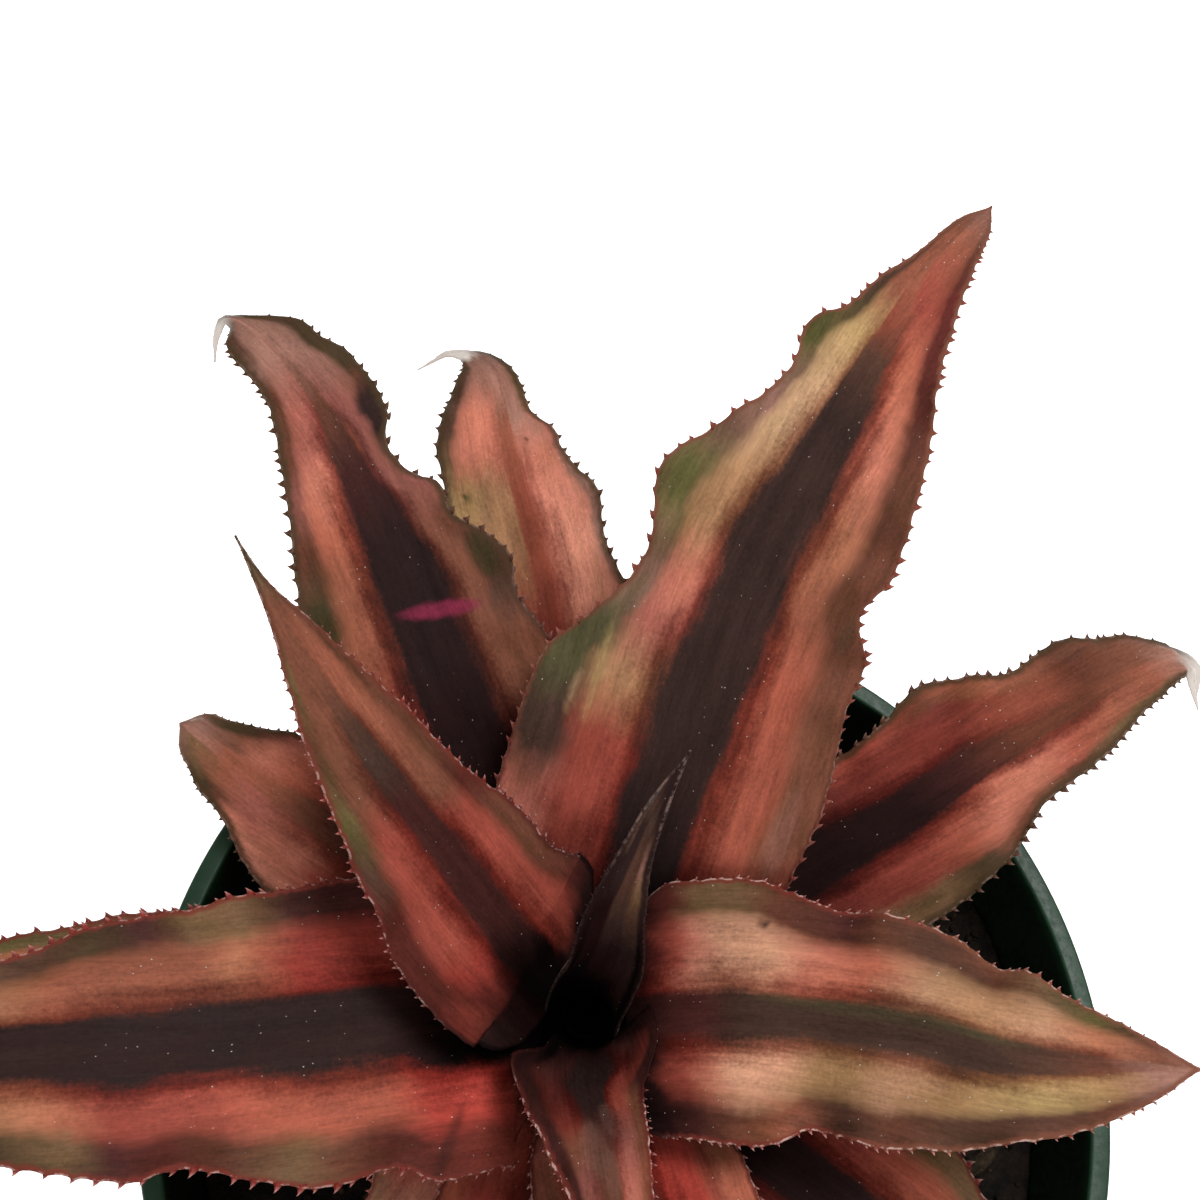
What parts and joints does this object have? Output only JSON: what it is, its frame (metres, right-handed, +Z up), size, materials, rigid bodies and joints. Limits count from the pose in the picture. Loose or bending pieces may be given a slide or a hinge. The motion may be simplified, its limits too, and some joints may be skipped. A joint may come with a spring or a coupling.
{
  "type": "potted bromeliad",
  "caption": "Potted earth star (Cryptanthus): flat rosette of long striped leaves with spiny wavy edges, on a short stem in potting mix in a thin green plastic grower's pot.",
  "frame": {"origin": "on the table, under the centre of the pot's foot", "axes": "+Z up; -Y towards the viewer of the plant's front, where the younger curled leaf hangs; +X to the viewer's right"},
  "size_m": [0.1565, 0.1519, 0.1355],
  "materials": {
    "pot_plastic": "satin, dark green",
    "potting_mix": "rough, granular, brown-black",
    "stem": "rough, dark red-brown",
    "leaf": "satin, salmon and dark brown stripes with silvery specks"
  },
  "bodies": {
    "root": {"pot": "pot_plastic", "soil": "potting_mix", "stem": "stem", "leaf_01": "leaf", "leaf_02": "leaf", "leaf_03": "leaf", "leaf_04": "leaf", "leaf_05": "leaf", "leaf_06": "leaf", "leaf_07": "leaf", "leaf_08": "leaf", "leaf_09": "leaf", "leaf_10": "leaf", "leaf_11": "leaf", "leaf_12": "leaf", "leaf_13": "leaf", "leaf_14": "leaf", "leaf_15": "leaf", "leaf_16": "leaf"}
  },
  "joints": []
}
